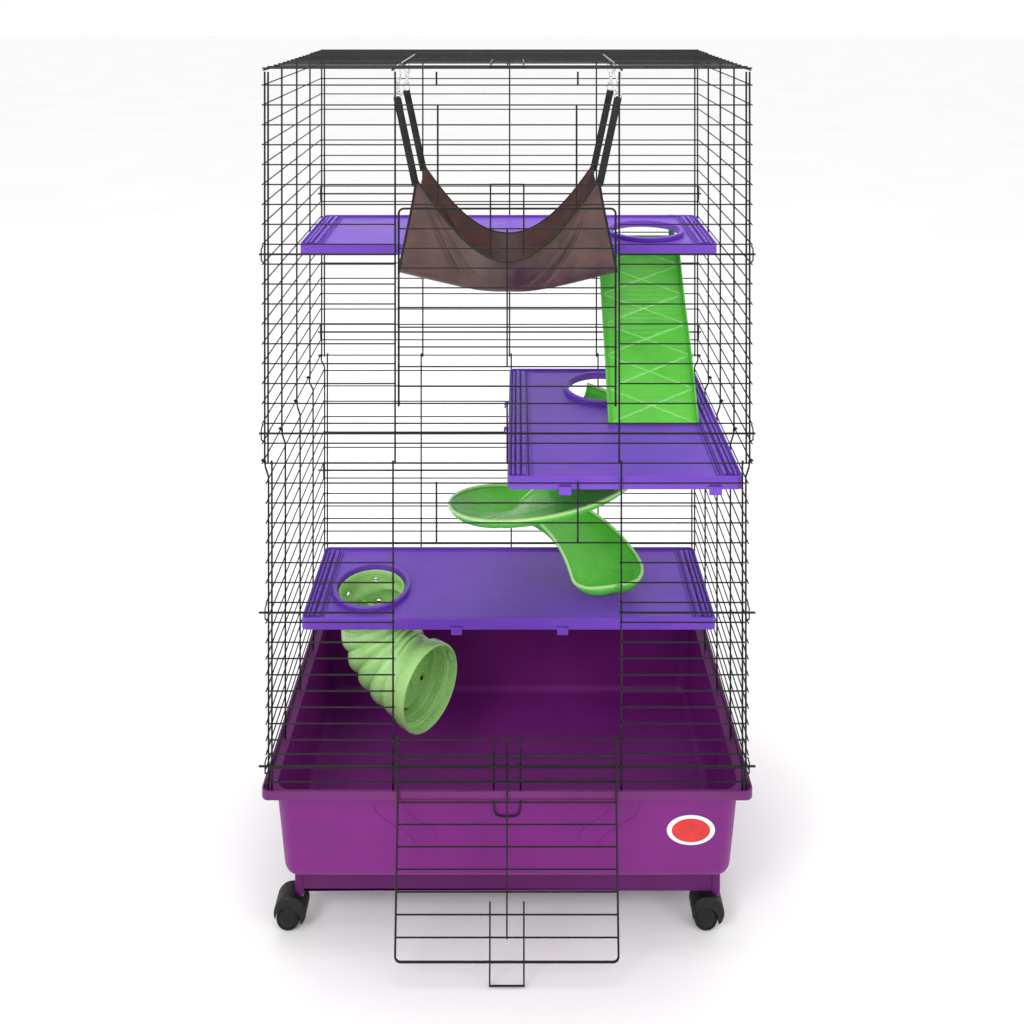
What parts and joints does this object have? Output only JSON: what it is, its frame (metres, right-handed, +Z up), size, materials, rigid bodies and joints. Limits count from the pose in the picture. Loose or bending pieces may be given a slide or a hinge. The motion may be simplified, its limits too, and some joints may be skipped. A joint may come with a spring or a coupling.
{
  "type": "small pet cage",
  "caption": "Tall rolling wire pet cage with a deep tray, shelves, ramp, spiral slide, tube and hammock.",
  "frame": {"origin": "centre of the whole object's footprint box, on the floor under the wheels, with the lower door hanging open", "axes": "+Z up, the cage's height; +X to the right across the front; -Y towards the user, where the doors are"},
  "size_m": [0.778, 0.516, 1.3997],
  "materials": {
    "wire": "gloss black powder coat",
    "tray_plastic": "satin moulded plum plastic",
    "badge_print": "plain pale badge",
    "shelf_plastic": "satin moulded violet plastic",
    "green_plastic": "satin moulded green plastic",
    "tube_plastic": "satin moulded light green plastic",
    "hook_metal": "nickel plated",
    "hammock_fabric": "brown satin cloth with a pale lining",
    "strap_webbing": "black woven webbing",
    "caster_plastic": "moulded black plastic",
    "axle_steel": "plain steel",
    "wheel_plastic": "moulded black plastic"
  },
  "bodies": {
    "cage": {"tray": "tray_plastic", "base_skirt": "tray_plastic", "badge": "badge_print", "front_upper_panel": "wire", "back_upper_panel": "wire", "left_upper_panel": "wire", "right_upper_panel": "wire", "front_lower_panel": "wire", "back_lower_panel": "wire", "left_lower_panel": "wire", "right_lower_panel": "wire", "roof_panel": "wire", "tier_hooks": "wire", "corner_loops": "wire", "upper_shelf": "shelf_plastic", "middle_shelf": "shelf_plastic", "lower_shelf": "shelf_plastic", "ramp": "green_plastic", "slide_upper": "green_plastic", "slide_lower": "green_plastic", "hammock_hooks": "hook_metal"},
    "upper_door": {"upper_door": "wire"},
    "lower_door": {"lower_door": "wire"},
    "roof_door": {"roof_door": "wire"},
    "upper_latch": {"upper_latch": "wire"},
    "lower_latch": {"lower_latch": "wire"},
    "roof_latch": {"roof_latch": "wire"},
    "tube": {"tube_elbow": "tube_plastic"},
    "hammock": {"hammock_sling": "hammock_fabric", "hammock_straps": "strap_webbing"},
    "caster_fl": {"caster_housing_fl": "caster_plastic", "caster_axle_fl": "axle_steel"},
    "wheels_fl": {"caster_wheels_fl": "wheel_plastic"},
    "caster_fr": {"caster_housing_fr": "caster_plastic", "caster_axle_fr": "axle_steel"},
    "wheels_fr": {"caster_wheels_fr": "wheel_plastic"},
    "caster_bl": {"caster_housing_bl": "caster_plastic", "caster_axle_bl": "axle_steel"},
    "wheels_bl": {"caster_wheels_bl": "wheel_plastic"},
    "caster_br": {"caster_housing_br": "caster_plastic", "caster_axle_br": "axle_steel"},
    "wheels_br": {"caster_wheels_br": "wheel_plastic"}
  },
  "joints": [
    {"name": "upper_door_hinge", "type": "hinge", "parent": "cage", "child": "upper_door", "pos_m": [0, -0.20697, 0.8672], "axis": [1, 0, 0], "range_deg": [0, 165]},
    {"name": "lower_door_hinge", "type": "hinge", "parent": "cage", "child": "lower_door", "pos_m": [0, -0.20697, 0.3398], "axis": [-1, 0, 0], "range_deg": [0, 171.1]},
    {"name": "roof_door_hinge", "type": "hinge", "parent": "cage", "child": "roof_door", "pos_m": [0, 0.13503, 1.393], "axis": [-1, 0, 0], "range_deg": [0, 165]},
    {"name": "upper_latch_slide", "type": "slide", "parent": "upper_door", "child": "upper_latch", "axis": [0, 0, 1], "range_m": [0, 0.009]},
    {"name": "lower_latch_slide", "type": "slide", "parent": "lower_door", "child": "lower_latch", "axis": [0, -0.1547, -0.988], "range_m": [-0.004, 0.003]},
    {"name": "roof_latch_slide", "type": "slide", "parent": "roof_door", "child": "roof_latch", "axis": [0, -1, 0], "range_m": [0, 0.009]},
    {"name": "tube_swivel", "type": "hinge", "parent": "cage", "child": "tube", "pos_m": [-0.259, 0.11003, 0.38], "axis": [0, 0, 1], "range_deg": [-50, 50]},
    {"name": "hammock_swing", "type": "hinge", "parent": "cage", "child": "hammock", "pos_m": [0, -0.07647, 1.33], "axis": [1, 0, 0], "range_deg": [-4, 4]},
    {"name": "swivel_fl", "type": "hinge", "parent": "cage", "child": "caster_fl", "pos_m": [-0.3368, -0.15097, 0.06], "axis": [0, 0, 1], "continuous": true},
    {"name": "roll_fl", "type": "hinge", "parent": "caster_fl", "child": "wheels_fl", "pos_m": [-0.3538, -0.15097, 0.0188], "axis": [0, 1, 0], "continuous": true},
    {"name": "swivel_fr", "type": "hinge", "parent": "cage", "child": "caster_fr", "pos_m": [0.3368, -0.15097, 0.06], "axis": [0, 0, 1], "continuous": true},
    {"name": "roll_fr", "type": "hinge", "parent": "caster_fr", "child": "wheels_fr", "pos_m": [0.3198, -0.15097, 0.0188], "axis": [0, 1, 0], "continuous": true},
    {"name": "swivel_bl", "type": "hinge", "parent": "cage", "child": "caster_bl", "pos_m": [-0.3368, 0.19403, 0.06], "axis": [0, 0, 1], "continuous": true},
    {"name": "roll_bl", "type": "hinge", "parent": "caster_bl", "child": "wheels_bl", "pos_m": [-0.3538, 0.19403, 0.0188], "axis": [0, 1, 0], "continuous": true},
    {"name": "swivel_br", "type": "hinge", "parent": "cage", "child": "caster_br", "pos_m": [0.3368, 0.19403, 0.06], "axis": [0, 0, 1], "continuous": true},
    {"name": "roll_br", "type": "hinge", "parent": "caster_br", "child": "wheels_br", "pos_m": [0.3198, 0.19403, 0.0188], "axis": [0, 1, 0], "continuous": true}
  ]
}
